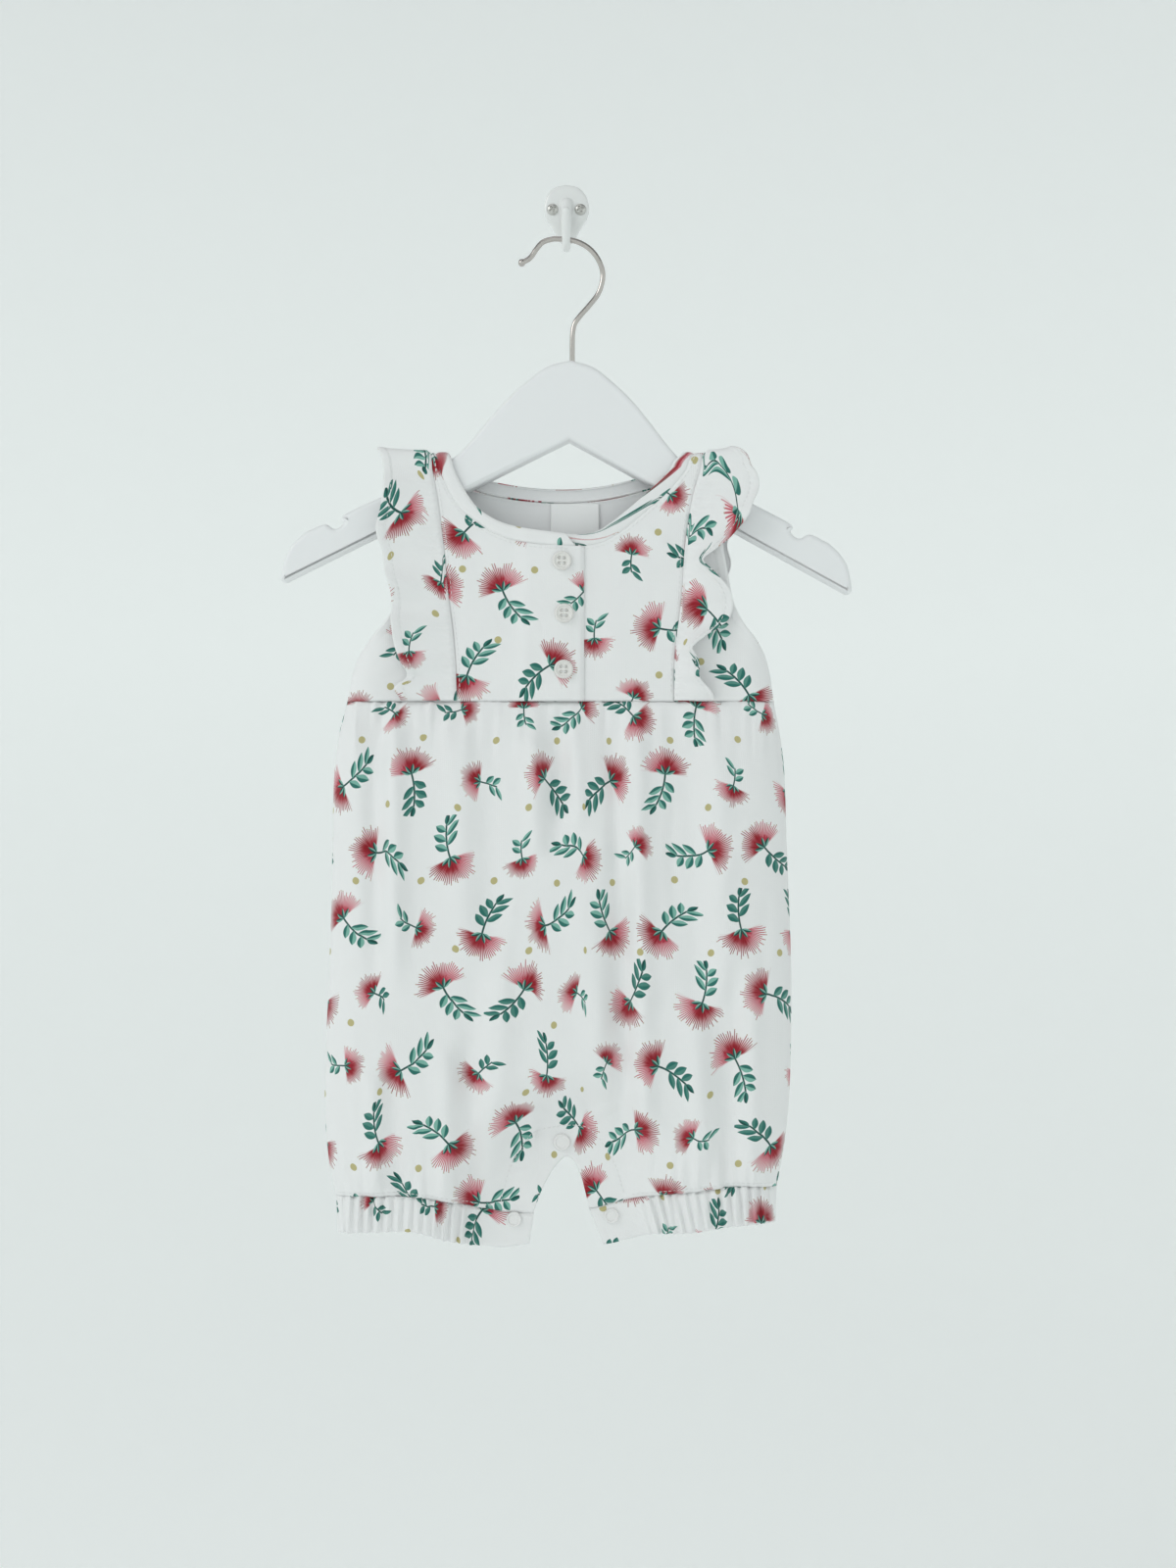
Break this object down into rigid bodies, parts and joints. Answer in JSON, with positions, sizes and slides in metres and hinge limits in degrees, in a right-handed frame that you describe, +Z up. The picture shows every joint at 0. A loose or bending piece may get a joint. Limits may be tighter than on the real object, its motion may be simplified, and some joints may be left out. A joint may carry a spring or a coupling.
{
  "type": "baby romper on a hanger and wall hook",
  "caption": "Sleeveless baby romper in printed white jersey with flutter ruffles, placket buttons and gathered cuffs, on a child's hanger and wall hook.",
  "frame": {"origin": "middle of the wall hook's back face, on the wall", "axes": "+Z up, +Y into the wall, +X to the right of someone who faces the wall"},
  "size_m": [0.2999, 0.0422, 0.5632],
  "materials": {
    "printed_jersey": "soft cotton jersey, white with red and green tossed flowers",
    "label_cloth": "plain white woven tape",
    "button_plastic": "slightly pearly white",
    "snap_plastic": "white, smooth",
    "painted_wood": "white satin paint over wood",
    "chrome_wire": "bright plated steel",
    "white_enamel": "white gloss enamel on cast metal",
    "screw_metal": "white-coated cross-head screw, worn bright"
  },
  "bodies": {
    "root": {"front_centre_left": "printed_jersey", "front_centre_right": "printed_jersey", "front_side_left": "printed_jersey", "front_side_right": "printed_jersey", "back_centre": "printed_jersey", "back_side_left": "printed_jersey", "back_side_right": "printed_jersey", "ruffle_left": "printed_jersey", "ruffle_right": "printed_jersey", "neckband": "printed_jersey", "neck_label": "label_cloth", "front_lower": "printed_jersey", "back_lower": "printed_jersey", "cuff_left_front": "printed_jersey", "cuff_left_back": "printed_jersey", "cuff_right_front": "printed_jersey", "cuff_right_back": "printed_jersey", "button_1": "button_plastic", "button_2": "button_plastic", "button_3": "button_plastic", "snap_crotch": "snap_plastic", "snap_leg_right": "snap_plastic", "snap_leg_left": "snap_plastic", "hanger_board": "painted_wood", "hanger_wire": "chrome_wire", "wall_hook": "white_enamel", "screw_left": "screw_metal", "screw_right": "screw_metal"}
  },
  "joints": []
}
